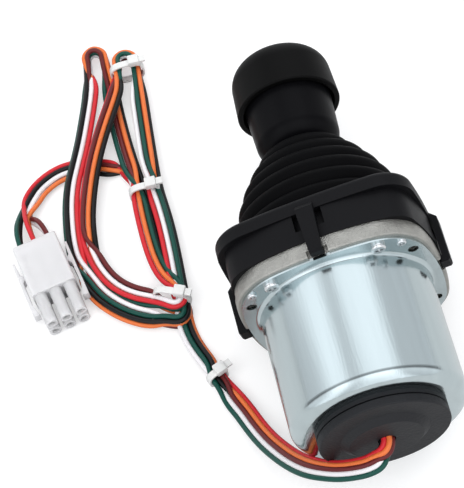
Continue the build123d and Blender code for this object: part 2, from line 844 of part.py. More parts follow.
# The joystick lies on the outer edges of one hook and on a corner of the bezel's top plate
corner_centre = (
    (sqrt(2 * (plate_bulge - plate_corner) ** 2 - (plate_bulge - plate_half) ** 2) - plate_bulge + plate_half) / 2
)
lean_reach = hook_reach - corner_centre
lean_width = corner_centre - hook_width / 2
roll = degrees(acos(plate_corner / sqrt(lean_reach**2 + lean_width**2)) - atan2(lean_width, lean_reach))
lift = hook_reach * cos(radians(roll)) + hook_width / 2 * sin(radians(roll))
middle = (knob_top + knob_dome + nose_face) / 2
laid = Location((0, -middle, lift), (0, -roll, 0)) * Location((0, 0, 0), (-90, 0, 0))
object_pieces = {
    "can": can,
    "mounting_frame": mounting_frame,
    "bezel": bezel,
    "bellows_boot": bellows_boot,
    "cable_grommet": cable_grommet,
    "can_screws": can_screws,
    "frame_screws": frame_screws,
    "knob_cap": knob_cap,
    "knob_insert": knob_insert,
    "lock_ring": lock_ring,
    "lock_ring_spring": lock_spring,
    "lock_pin": lock_pin,
    "lock_rod": lock_rod,
    "lever_shaft": lever_shaft,
    "pivot_hub": pivot_hub,
    "pivot_hub_pins": hub_pins,
    "gimbal_ring": gimbal_ring,
    "gimbal_ring_pins": gimbal_pins,
    "ring_bushes": ring_bushes,
    "frame_bushes": frame_bushes,
    "sensor_bail": sensor_bail,
    "bail_pins": bail_pins,
    "fore_aft_sensor": fore_aft_sensor,
    "side_sensor": side_sensor,
    "fore_aft_spring": fore_aft_spring,
    "side_spring": side_spring,
    "lock_plate": lock_plate,
    "chassis_posts": chassis_posts,
    "board_spacers": board_spacers,
    "circuit_board": circuit_board,
    "board_header": board_header,
    "board_screws": board_screws,
    "inner_leads": inner_leads,
}
for piece in object_pieces.values():
    piece.part.move(laid)

# Wire bundle: it leaves the grommet, drops beside the can and lies on the table
lead_end = lead_start - middle
lead_height = tie_thickness + bundle_radius
lead_route = [
    (0, lead_end, lift),
    (0, lead_end - exit_run, lift),
    (-exit_run, lead_end - exit_run, lift - exit_fall),
    (-24, lead_end - 7.1, lift - 10.6),
    (-34.2, lead_end + 4.3, lift - 21.6),
    (-43.5, -64, 10.5),
    (-50.5, -46, lead_height),
    (-56.5, -32, lead_height),
    (-61.5, -19, lead_height),
    (-67, -2, lead_height),
    (-68.5, 6, lead_height),
]
tail_route = [
    (-92, 95.5, 5),
    (-104, 97.6, 4.2),
    (-114, 94, 3.6),
    (-123.8, 84, 3.6),
    (-126.2, 71.5, 4.6),
    (-121.9, 57.1, 7.2),
]


def draw_cord(name, route):
    """Round cord along straight runs that are joined by arcs as large as the runs allow."""
    points = [Vector(*point) for point in route]
    runs = [end - start for start, end in zip(points, points[1:])]
    radii = []
    for before, after in zip(runs, runs[1:]):
        half_turn = radians(before.get_angle(after)) / 2
        radii.append(cord_share * min(before.length, after.length) / tan(half_turn))
    with BuildLine() as path:
        FilletPolyline(*points, radius=radii)
    centre = path.wires()[0]
    with BuildSketch(Plane(origin=centre @ 0, z_dir=centre % 0)) as section:
        Circle(bundle_radius)
    sweep(section.sketch, path=centre)
    print(name, "length", round(centre.length, 1), "radii", [round(radius, 1) for radius in radii])
    return centre.length * pi * bundle_radius**2


with BuildPart() as harness_lead:
    lead_volume = draw_cord("harness_lead", lead_route)
with BuildPart() as harness_tail:
    tail_volume = draw_cord("harness_tail", tail_route)
print("volume over section times length", harness_lead.part.volume / lead_volume,
      harness_tail.part.volume / tail_volume)

# Hank: the folded wires as one solid, with a slot between the two upper folds
hank_outside = [
    (-76.5, 130.0),
    (-75.0, 148.0),
    (-68.0, 156.5),
    (-59.8, 150.0),
    (-58.0, 125.2),
    (-60.9, 103.2),
    (-65.0, 73.8),
    (-64.3, 41.4),
    (-62.4, 17.5),
    (-64.2, 5.5),
    (-71.0, 1.0),
    (-81.7, 5.0),
    (-93.3, 13.6),
    (-99.5, 23.7),
    (-104.4, 36.8),
    (-106.8, 50.5),
    (-107.4, 66.2),
    (-104.4, 84.1),
    (-96.5, 109.5),
    (-88.0, 135.4),
    (-84.5, 152.5),
    (-79.0, 151.5),
]
hank_inside = [
    (-77.8, 103.2),
    (-77.4, 86.2),
    (-76.6, 66.7),
    (-75.8, 47.8),
    (-74.6, 29.1),
    (-76.5, 21.0),
    (-84.6, 24.0),
    (-93.0, 33.9),
    (-96.9, 46.7),
    (-96.7, 59.9),
    (-94.4, 72.6),
    (-89.7, 87.5),
    (-83.7, 99.5),
]
with BuildPart() as harness_hank:
    with BuildSketch(Plane.XY.offset(tie_thickness)) as packs:
        with BuildLine():
            Polyline(*hank_outside, close=True)
        make_face()
        with BuildLine():
            Polyline(*hank_inside, close=True)
        make_face(mode=Mode.SUBTRACT)
    extrude(amount=hank_height)
    fillet(harness_hank.edges().group_by(Axis.Z)[-1], hank_round)
    fillet(harness_hank.edges().group_by(Axis.Z)[0], hank_round)

# Ties: straps round the packs of the hank, and one round the bundle on its way there
pack_middle = tie_thickness + hank_height / 2
tie_places = [
    ((-69.2, 15.8, pack_middle), (0.545, 0.839, 0), 14.6, hank_height),
    ((-70.8, 70.8, pack_middle), (0.03, 1, 0), 11.8, hank_height),
    ((-66.9, 138.5, pack_middle), (0.05, 1, 0), 16.8, hank_height),
    ((-59.0, -25.5, lead_height), (-0.36, 0.933, 0), 2 * bundle_radius, 2 * bundle_radius),
]
with BuildPart() as cable_ties:
    for place, along, across, tall in tie_places:
        corner = min(hank_round, across / 2 - gap)
        with BuildSketch(Plane(origin=place, x_dir=(-along[1], along[0], 0), z_dir=along)):
            RectangleRounded(across + 2 * tie_thickness, tall + 2 * tie_thickness, corner + tie_thickness)
            RectangleRounded(across, tall, corner, mode=Mode.SUBTRACT)
        extrude(amount=tie_width / 2, both=True)

# Plug: a translucent housing with six silos in two rows, and a latch wing on each side
plug_start = Vector(*tail_route[-1])
plug_end = plug_start + Vector(7.3, -40.4, -gap)
plug_axis = (plug_end - plug_start).normalized()
plug_side = Vector(-plug_axis.Y, plug_axis.X, 0).normalized()
wing_start = 3 * pin_pitch / 2
wing_root = housing_length / 2
plug = Plane(origin=plug_start, x_dir=plug_side, z_dir=plug_axis)
with BuildPart() as connector_housing:
    with BuildSketch(plug):
        RectangleRounded(3 * pin_pitch, 2 * pin_pitch, housing_round)
    extrude(amount=housing_length)
    with BuildSketch(plug.offset(housing_length)):
        with GridLocations(pin_pitch, pin_pitch, 3, 2):
            Circle(silo_radius)
    extrude(amount=silo_length)
    with BuildSketch(plug.offset(wing_width)):
        with GridLocations(pin_pitch, pin_pitch, 3, 2):
            Circle(silo_bore)
    extrude(amount=housing_length + silo_length - wing_width, mode=Mode.SUBTRACT)
    for side in (-1, 1):
        with BuildSketch(Plane(origin=plug_start, x_dir=plug_side * side, z_dir=plug_side.cross(plug_axis) * side)):
            with BuildLine():
                Polyline(
                    (wing_start, wing_root),
                    (wing_start + wing_thickness, wing_root - wing_thickness),
                    (wing_start + wing_thickness + gap, wing_width),
                    (wing_start + 2 * wing_thickness, wing_width),
                    (wing_start + 2 * wing_thickness, housing_length + silo_length / 2),
                    (wing_start, housing_length + silo_length / 2),
                    (wing_start + wing_thickness, housing_length + wing_thickness),
                    (wing_start + wing_thickness, wing_root + 2 * wing_thickness),
                    (wing_start, wing_root + wing_thickness),
                    close=True,
                )
            make_face()
        extrude(amount=wing_width / 2, both=True)

with BuildPart() as connector_contacts:
    with BuildSketch(plug.offset(wing_width)):
        with GridLocations(pin_pitch, pin_pitch, 3, 2):
            Circle(silo_bore)
    extrude(amount=housing_length - wing_width)
    with BuildSketch(plug.offset(housing_length)):
        with GridLocations(pin_pitch, pin_pitch, 3, 2):
            Circle(contact_radius)
    extrude(amount=silo_length - wing_thickness)

pieces = object_pieces | {
    "harness_lead": harness_lead,
    "harness_hank": harness_hank,
    "harness_tail": harness_tail,
    "cable_ties": cable_ties,
    "connector_housing": connector_housing,
    "connector_contacts": connector_contacts,
}
for name, piece in pieces.items():
    piece.part.label = name
    export_step(piece.part, f"parts/{name}.step")
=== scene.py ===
import json
import math

import bmesh
import bpy
from mathutils import Matrix, Vector


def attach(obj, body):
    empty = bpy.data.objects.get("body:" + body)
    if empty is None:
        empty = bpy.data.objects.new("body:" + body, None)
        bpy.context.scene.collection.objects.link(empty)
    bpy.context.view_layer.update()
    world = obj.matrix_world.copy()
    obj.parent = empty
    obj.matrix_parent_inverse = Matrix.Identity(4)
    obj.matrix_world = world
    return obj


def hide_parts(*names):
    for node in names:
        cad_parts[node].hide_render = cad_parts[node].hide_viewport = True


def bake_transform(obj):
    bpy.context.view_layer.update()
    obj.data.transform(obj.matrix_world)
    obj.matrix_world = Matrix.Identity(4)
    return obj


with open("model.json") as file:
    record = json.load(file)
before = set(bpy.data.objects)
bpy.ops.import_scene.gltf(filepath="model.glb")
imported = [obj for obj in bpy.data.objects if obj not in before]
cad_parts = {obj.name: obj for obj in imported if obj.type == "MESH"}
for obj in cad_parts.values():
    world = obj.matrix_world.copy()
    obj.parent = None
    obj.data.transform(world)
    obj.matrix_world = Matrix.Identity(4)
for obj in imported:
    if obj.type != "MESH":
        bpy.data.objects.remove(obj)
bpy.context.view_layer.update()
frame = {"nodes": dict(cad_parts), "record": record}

# The joystick lies on a table, so its own axes are read from the joints: the lever tilts about
# across and down_side, and the lock ring slides along lever_axis. The matrix laid takes a piece that
# is drawn upright, from the underside of the can's flange at z = 0, to where the joystick lies.
joints = {joint["name"]: joint for joint in frame["record"]["behaviour"]["joints"]}
pivot = Vector(joints["tilt_fore_aft"]["pos_m"])
across = Vector(joints["tilt_fore_aft"]["axis"]).normalized()
down_side = Vector(joints["tilt_side"]["axis"]).normalized()
lever_axis = Vector(joints["lock_lift"]["axis"]).normalized()
PIVOT_DEPTH = 0.008
laid = Matrix.Translation(pivot + lever_axis * PIVOT_DEPTH) @ Matrix(
    (across, down_side, lever_axis)
).transposed().to_4x4()

# Camera: above the can's end, looking down at the table through a long lens. Its place and its own
# axes, seen from the joystick, were worked out from the edges of the can and the bezel.
SENSOR_WIDTH = 36
LENS_LENGTH = 132.8
FARTHEST_SEEN = 20
camera_place = (0.0789, -0.6245, -0.3367)
camera_axes = Matrix(((0.9262, 0.3072, -0.2185), (0.342, -0.4409, 0.8299), (0.1586, -0.8434, -0.5134)))
camera_data = bpy.data.cameras.new("camera")
camera_data.sensor_width = SENSOR_WIDTH
camera_data.lens = LENS_LENGTH
camera_data.clip_end = FARTHEST_SEEN
camera = bpy.data.objects.new("camera", camera_data)
bpy.context.collection.objects.link(camera)
camera.matrix_world = laid @ Matrix.Translation(camera_place) @ camera_axes.transposed().to_4x4()
bpy.context.scene.camera = camera
bpy.context.scene.view_settings.view_transform = "Standard"


# Table and light: a pale table top under large soft lamps, as in a product studio. The table and
# the surroundings look white to the camera, and the table still takes the shadows.
def linear(colour):
    """An sRGB hex colour as the linear values that a shader takes."""
    channels = [int(colour[start:start + 2], 16) / 255 for start in (1, 3, 5)]
    return (*[c / 12.92 if c <= 0.04045 else ((c + 0.055) / 1.055) ** 2.4 for c in channels], 1)


def node(tree, kind, inputs=None, **settings):
    """Adds a node with its settings, and puts a value or a link into each named input."""
    added = tree.nodes.new(kind)
    for name, value in settings.items():
        setattr(added, name, value)
    for name, value in (inputs or {}).items():
        if isinstance(value, bpy.types.NodeSocket):
            tree.links.new(value, added.inputs[name])
        else:
            added.inputs[name].default_value = value
    return added


def white_to_camera(tree, mirrored):
    """Is 1 for rays from the camera or through clear plastic, and the mirrored share for those from metal."""
    rays = node(tree, "ShaderNodeLightPath")
    dimmed = node(tree, "ShaderNodeMath", {0: rays.outputs["Is Glossy Ray"], 1: mirrored},
                  operation="MULTIPLY")
    direct = node(tree, "ShaderNodeMath", {0: rays.outputs["Is Camera Ray"], 1: dimmed.outputs[0]},
                  operation="MAXIMUM")
    white = node(tree, "ShaderNodeMath", {0: direct.outputs[0], 1: rays.outputs["Is Transmission Ray"]},
                 operation="MAXIMUM")
    return white.outputs[0]


# Light and dark panels of the studio that polished metal mirrors: their place across the room, from
# the left wall over the ceiling to the right wall, and their level.
studio_panels = (
    (0.0, 0.85), (0.06, 0.9), (0.16, 1.65), (0.25, 1.65), (0.32, 1.05), (0.38, 1.05), (0.46, 1.6),
    (0.71, 1.75), (0.75, 1.5), (0.81, 0.9), (1.0, 0.9),
)
# The same along the room, from behind the camera to the far wall, with a dark gap between two lamps.
studio_depth = ((0.0, 0.9), (0.36, 1.3), (0.46, 1.3), (0.53, 0.3), (0.61, 0.3), (0.68, 1.0), (1.0, 1.0))
ROOM_LIGHT = 0.5
world = bpy.data.worlds.new("studio")
bpy.context.scene.world = world
world.use_nodes = True
surroundings = world.node_tree
surroundings.nodes.clear()
strength = node(surroundings, "ShaderNodeMapRange", {
    "Value": white_to_camera(surroundings, 1.0), "To Min": ROOM_LIGHT, "To Max": 1.0})
direction = node(surroundings, "ShaderNodeSeparateXYZ", {
    0: node(surroundings, "ShaderNodeTexCoord").outputs["Generated"]})


def panel_ramp(way, stops):
    """Colour of the panels, slightly cool, for one part of the ray's direction, from -1 to 1."""
    place = node(surroundings, "ShaderNodeMapRange", {"Value": way, "From Min": -1, "From Max": 1})
    ramp = node(surroundings, "ShaderNodeValToRGB", {"Fac": place.outputs[0]})
    for number, (position, level) in enumerate(stops):
        stop = ramp.color_ramp.elements[number] if number < 2 else ramp.color_ramp.elements.new(position)
        stop.position = position
        stop.color = (level, level * 1.01, level * 1.03, 1)
    return ramp.outputs[0]


panels = node(surroundings, "ShaderNodeMix", {
    0: 1.0, 6: panel_ramp(direction.outputs["X"], studio_panels),
    7: panel_ramp(direction.outputs["Y"], studio_depth),
}, data_type="RGBA", blend_type="MULTIPLY")
backdrop = node(surroundings, "ShaderNodeMix", {
    0: node(surroundings, "ShaderNodeLightPath").outputs["Is Camera Ray"],
    6: panels.outputs[2], 7: linear("#FFFFFF"),
}, data_type="RGBA")
background = node(surroundings, "ShaderNodeBackground", {
    "Color": backdrop.outputs[2], "Strength": strength.outputs[0]})
node(surroundings, "ShaderNodeOutputWorld", {"Surface": background.outputs[0]})


def deselect_all():
    """Leaves nothing selected, so that the next operator only acts on its own piece."""
    bpy.ops.object.select_all(action="DESELECT")


# The table glows so much that it is white to the camera, and metal mirrors a share of that.
TABLE_SIZE = 6
TABLE_GLOW = 0.46
TABLE_MIRRORED = 0.4
deselect_all()
bpy.ops.mesh.primitive_plane_add(size=TABLE_SIZE, location=(0, 0, 0))
table = bpy.context.object
table.name = "table_top"
table_paint = bpy.data.materials.new("pale_table_paint")
table_paint.use_nodes = True
paint = table_paint.node_tree
paint.nodes.clear()
lit = node(paint, "ShaderNodeBsdfDiffuse", {"Color": linear("#CDCDCD")})
glow = node(paint, "ShaderNodeMath", {0: white_to_camera(paint, TABLE_MIRRORED), 1: TABLE_GLOW},
            operation="MULTIPLY")
shown = node(paint, "ShaderNodeEmission", {"Color": linear("#FFFFFF"), "Strength": glow.outputs[0]})
both = node(paint, "ShaderNodeAddShader", {0: lit.outputs[0], 1: shown.outputs[0]})
node(paint, "ShaderNodeOutputMaterial", {"Surface": both.outputs[0]})
table.data.materials.append(table_paint)

# Three soft lamps, aimed at the middle of the joystick. Polished metal mirrors the panels instead
# of them, so that its bands of light end softly.
lit_point = Vector((0, 0, 0.04))
for name, place, size, watts in (
    ("key_softbox", (-0.55, -0.5, 1.3), 1.1, 10),
    ("overhead_softbox", (0.35, 0.35, 1.4), 1.2, 8),
    ("side_softbox", (1.2, -0.5, 0.6), 0.8, 4),
):
    lamp_data = bpy.data.lights.new(name, "AREA")
    lamp_data.size = size
    lamp_data.energy = watts
    lamp = bpy.data.objects.new(name, lamp_data)
    bpy.context.collection.objects.link(lamp)
    lamp.location = place
    lamp.visible_glossy = False
    lamp.rotation_euler = (lit_point - Vector(place)).to_track_quat("-Z", "Y").to_euler()


# Wires: six lengths of stranded copper in soft PVC, one colour each, drawn from a drum and cut.
# They leave the grommet together, lie on the table, are folded into a hank, and end in the plug.
WIRE_RADIUS = 0.0011
WIRE_STEP = 0.0022
wire_colours = {
    "black": "#0D0D0E", "white": "#EFECEE", "red": "#CF2A33",
    "orange": "#E87840", "brown": "#642324", "green": "#10493F",
}
letters = {"k": "black", "w": "white", "r": "red", "o": "orange", "b": "brown", "g": "green"}
# Shapes of the bundle: a place sideways and upwards, in wire steps, for each letter of an order.
round_bundle = ((-0.5, 0.85), (0.5, 0.85), (-1.0, 0.0), (1.0, 0.0), (-0.5, -0.85), (0.5, -0.85))
lead_bundle = ((-2.1, -0.2), (-1.25, 0.15), (-0.4, 0.45), (0.45, 0.45), (1.25, 0.1), (-0.1, -0.5))
flat_bundle = ((-1.25, 0.43), (-0.25, 0.43), (0.75, 0.43), (-0.75, -0.43), (0.25, -0.43), (1.25, -0.43))
loose_bundle = ((-1.75, 0.0), (-0.85, 0.42), (0.1, 0.5), (1.0, 0.3), (-0.4, -0.48), (0.6, -0.5))
tall_bundle = ((-0.43, 0.0), (-0.43, 1.0), (0.43, 0.5), (-0.43, -1.0), (0.43, -1.5), (0.43, -0.5))
plug_bundle = ((0.0, 1.0), (0.75, 0.3), (-0.4, 0.05), (1.45, -0.45), (0.35, -0.65), (-0.6, -0.95))
# Each stretch of the harness: the order of the wires, the bundle's shape, how loose it is, and the
# middle of the bundle in millimetres.
harness = [
    ("orbkgw", round_bundle, 0.95, [
        (0, -86, 44.6), (0, -90.0, 44.6), (-0.3, -93.0, 44.6), (-2.0, -95.6, 44.1)]),
    ("gwbork", lead_bundle, 0.9, [
        (-5.4, -97.2, 43.0), (-9.8, -97.6, 41.3), (-14.7, -96.4, 39.0), (-19.9, -94.4, 36.2),
        (-24.9, -91.4, 33.2)]),
    ("gwbork", lead_bundle, 1.0, [
        (-30.1, -86.9, 29.0), (-34.7, -81.2, 24.0), (-39.2, -73.5, 18.0), (-43.9, -63.7, 11.8),
        (-47.3, -54.5, 7.4), (-50.4, -44.8, 4.8), (-53.5, -37.6, 4.4)]),
    ("gkbwor", flat_bundle, 0.95, [(-56.7, -30.9, 4.4), (-58.7, -26.0, 4.4)]),
    ("wgkbro", flat_bundle, 1.0, [
        (-60.6, -19.6, 4.2), (-63.2, -12.6, 3.0), (-65.3, -5.8, 2.3), (-66.4, 1.5, 2.3), (-66.2, 7.9, 3.4)]),
    ("rwgbok", flat_bundle, 1.05, [
        (-65.7, 14.4, 5.6), (-65.2, 24.9, 6.2), (-64.7, 36.9, 6.2), (-64.5, 53.8, 6.2), (-65.7, 70.8, 6.4)]),
    ("wgobrk", flat_bundle, 1.1, [
        (-65.2, 84.8, 6.4), (-64.5, 95.8, 6.4), (-63.6, 108.8, 6.4), (-62.5, 123.8, 6.4)]),
    ("wgobrk", tall_bundle, 1.0, [
        (-61.0, 133.2, 6.6), (-60.7, 139.4, 6.8), (-60.7, 144.2, 7.0), (-64.8, 146.8, 7.3),
        (-68.9, 144.2, 7.8), (-69.0, 139.0, 8.2)]),
    ("kobgwr", flat_bundle, 1.1, [
        (-71.3, 127.6, 9.4), (-75.2, 119.6, 9.4), (-80.3, 110.1, 9.4), (-85.6, 99.5, 9.0),
        (-89.6, 90.5, 8.4), (-93.0, 81.5, 7.4), (-95.8, 72.5, 6.6), (-97.7, 64.9, 6.0),
        (-98.9, 56.1, 5.6)]),
    ("bwrkog", flat_bundle, 1.15, [
        (-98.6, 45.0, 5.2), (-96.7, 38.0, 5.0), (-93.5, 31.0, 5.0), (-89.2, 25.5, 5.0), (-83.8, 21.1, 5.0),
        (-78.2, 17.8, 5.4)]),
    ("bwrkog", tall_bundle, 1.0, [
        (-73.4, 13.4, 6.6), (-68.8, 9.2, 7.4), (-65.1, 9.8, 7.8), (-63.4, 13.2, 7.9)]),
    ("rogwbk", flat_bundle, 1.1, [
        (-66.2, 20.6, 7.0), (-70.0, 26.8, 6.2), (-72.2, 36.8, 6.2), (-72.9, 53.8, 6.2), (-72.5, 70.7, 6.4)]),
    ("gbowrk", flat_bundle, 1.1, [
        (-73.4, 82.2, 6.0), (-74.4, 94.1, 4.6), (-75.0, 107.4, 3.0), (-75.2, 120.6, 2.6),
        (-74.8, 131.6, 3.0)]),
    ("gbowrk", tall_bundle, 1.0, [
        (-74.4, 141.2, 5.0), (-74.3, 146.8, 5.6), (-74.4, 151.4, 6.2), (-78.4, 154.0, 6.6),
        (-82.4, 151.4, 6.6), (-82.5, 146.6, 6.2)]),
    ("rwkobg", flat_bundle, 1.1, [
        (-83.0, 135.3, 5.4), (-85.4, 126.5, 5.2), (-89.1, 115.4, 5.2), (-92.7, 105.1, 5.2),
        (-97.1, 94.4, 5.2), (-101.1, 85.0, 5.0), (-103.7, 75.2, 4.6), (-105.1, 65.8, 4.4),
        (-106.0, 56.6, 4.2), (-105.9, 47.0, 4.0)]),
    ("wgkrbo", flat_bundle, 1.15, [
        (-103.9, 36.5, 4.0), (-99.7, 26.3, 4.0), (-93.5, 18.4, 4.0), (-86.8, 12.5, 4.0), (-79.6, 8.4, 4.0)]),
    ("wgkrbo", tall_bundle, 1.0, [
        (-74.0, 5.9, 4.8), (-68.8, 3.2, 5.2), (-65.4, 4.2, 5.4), (-64.0, 7.6, 5.2), (-64.4, 12.4, 4.6)]),
    ("robwgk", flat_bundle, 1.0, [
        (-65.6, 18.0, 3.6), (-67.6, 26.4, 2.4), (-69.8, 40.4, 2.2), (-71.0, 57.8, 2.2), (-71.0, 70.8, 2.4),
        (-72.2, 79.2, 2.4), (-75.7, 85.7, 2.2)]),
    ("kobrwg", loose_bundle, 1.05, [(-81.1, 90.0, 2.2), (-87.1, 92.9, 2.2), (-93.1, 94.8, 2.2)]),
    ("owkrbg", loose_bundle, 1.15, [
        (-99.1, 95.8, 2.2), (-105.4, 95.3, 2.6), (-111.6, 92.8, 3.0), (-117.4, 88.6, 3.6),
        (-121.8, 82.6, 4.4)]),
    ("rkogwb", plug_bundle, 1.0, [(-124.5, 75.2, 5.4)]),
]
MILLIMETRES = 1000
middles = []
for order, bundle, loose, points in harness:
    for point in points:
        middles.append((Vector(point) / MILLIMETRES, order, bundle, loose))

# The plug's six wire holes: each wire's column and row from the middle. Before its hole a wire is
# still drawn in a little towards the middle column.
PLUG_START = Vector((-0.1219, 0.0571, 0.0072))
PLUG_END = Vector((-0.1146, 0.0167, 0.0069))
PIN_PITCH = 0.0067
SPREAD_BEFORE_PLUG = 0.011
DRAWN_IN = 0.0015
STRAIGHT_BEFORE_PLUG = 0.003
DEPTH_IN_PLUG = 0.005
plug_axis = (PLUG_END - PLUG_START).normalized()
plug_side = Vector((-plug_axis.y, plug_axis.x, 0)).normalized()
plug_up = plug_axis.cross(plug_side)
plug_holes = {"g": (-1, 0.5), "r": (0, 0.5), "b": (1, 0.5), "k": (-1, -0.5), "o": (0, -0.5), "w": (1, -0.5)}

wires = {}
for letter, colour in letters.items():
    line = []
    for number, (middle, order, bundle, loose) in enumerate(middles):
        before = middles[max(number - 1, 0)][0]
        after = middles[min(number + 1, len(middles) - 1)][0]
        along = (after - before).normalized()
        sideways = along.cross(Vector((0, 0, 1))).normalized()
        upwards = sideways.cross(along)
        place = bundle[order.index(letter)]
        line.append(middle + (sideways * place[0] * loose + upwards * place[1]) * WIRE_STEP)
    column, row = plug_holes[letter]
    hole = PLUG_START + plug_side * column * PIN_PITCH + plug_up * row * PIN_PITCH
    line.append(hole - plug_axis * SPREAD_BEFORE_PLUG - plug_side * column * DRAWN_IN)
    line.append(hole - plug_axis * STRAIGHT_BEFORE_PLUG)
    line.append(hole + plug_axis * DEPTH_IN_PLUG)
    curve = bpy.data.curves.new(f"wire_{colour}", "CURVE")
    curve.dimensions = "3D"
    curve.bevel_depth = WIRE_RADIUS
    curve.bevel_resolution = 3
    curve.resolution_u = 6
    spline = curve.splines.new("NURBS")
    spline.points.add(len(line) - 1)
    for spline_point, place in zip(spline.points, line):
        spline_point.co = (*place, 1)
    spline.order_u = 3
    spline.use_endpoint_u = True
    wires[colour] = bpy.data.objects.new(f"wire_{colour}", curve)
    bpy.context.collection.objects.link(wires[colour])


# The mottling is about eight grains across, and moves the gloss by an eighth either way.
MOTTLING_SCALE = 0.12
GLOSS_LOW = 0.88
GLOSS_HIGH = 1.12


def finish(name, colour, roughness, grain, metallic=0.0, relief=0.1, shade=0.12, stretch=(1, 1, 1), **sockets):
    """Material with a slightly mottled colour and gloss and a fine relief, from a grain size in metres."""
    material = bpy.data.materials.new(name)
    material.use_nodes = True
    tree = material.node_tree
    tree.nodes.clear()
    place = node(tree, "ShaderNodeTexCoord")
    stretched = node(tree, "ShaderNodeMapping", {"Vector": place.outputs["Object"], "Scale": stretch})
    coarse = node(tree, "ShaderNodeTexNoise", {
        "Vector": stretched.outputs[0], "Scale": MOTTLING_SCALE / grain, "Detail": 3})
    fine = node(tree, "ShaderNodeTexNoise", {"Vector": stretched.outputs[0], "Scale": 1 / grain, "Detail": 2})
    red, green, blue, _ = linear(colour)
    darker = (red * (1 - shade), green * (1 - shade), blue * (1 - shade), 1)
    tone = node(tree, "ShaderNodeMix", {0: coarse.outputs[0], 6: darker, 7: linear(colour)}, data_type="RGBA")
    gloss = node(tree, "ShaderNodeMapRange", {
        "Value": coarse.outputs[0], "To Min": roughness * GLOSS_LOW, "To Max": roughness * GLOSS_HIGH})
    bump = node(tree, "ShaderNodeBump", {"Height": fine.outputs[0], "Distance": grain, "Strength": relief})
    shader = node(tree, "ShaderNodeBsdfPrincipled", {
        "Base Color": tone.outputs[2], "Roughness": gloss.outputs[0], "Normal": bump.outputs[0],
        "Metallic": metallic, **{key.replace("_", " "): value for key, value in sockets.items()}})
    node(tree, "ShaderNodeOutputMaterial", {"Surface": shader.outputs[0]})
    return material


def dress(material, slot, *names):
    """Gives CAD nodes a material in place of their plain one. The slot argument is not used."""
    for name in names:
        mesh = frame["nodes"][name].data
        mesh.materials.clear()
        mesh.materials.append(material)


# Extruded PVC is glossy, and a little uneven where it was bent and handled.
for colour, wire in wires.items():
    wire.data.materials.append(finish(
        f"pvc_insulation_{colour}", wire_colours[colour], 0.36, 0.0015, relief=0.03, Specular_IOR_Level=0.25))
    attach(wire, "housing")
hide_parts("harness_lead", "harness_hank", "harness_tail")


# Cable ties: self-locking straps of natural nylon, moulded in one piece. Each is pulled tight round
# the wires, with its square head on top and its end cut off short.
TIE_WIDTH = 0.0032
TIE_THICKNESS = 0.0011
HEAD_LENGTH = 0.0050
HEAD_HEIGHT = 0.0034
HEAD_WIDTH = 0.0048
HEAD_LIFT = 0.0016
HEAD_PLACE = 0.3
MOUTH_RIM = 0.001
MOUTH_DEPTH = 0.002
END_LENGTH = 0.0032
END_SHIFT = 0.0012
tie_nylon = finish("natural_nylon_ties", "#E2E2E0", 0.38, 0.0006, relief=0.04, shade=0.06,
                   Subsurface_Weight=0.15, Subsurface_Radius=(0.002, 0.002, 0.002))


def settle(piece, matrix):
    """Moves a finished piece by a matrix and puts its place into its mesh."""
    deselect_all()
    piece.select_set(True)
    bpy.context.view_layer.objects.active = piece
    piece.matrix_world = matrix @ piece.matrix_world
    bpy.ops.object.transform_apply(location=True, rotation=True, scale=True)


def apply_all(piece):
    """Applies a piece's modifiers in their order."""
    deselect_all()
    piece.select_set(True)
    bpy.context.view_layer.objects.active = piece
    for modifier in list(piece.modifiers):
        bpy.ops.object.modifier_apply(modifier=modifier.name)


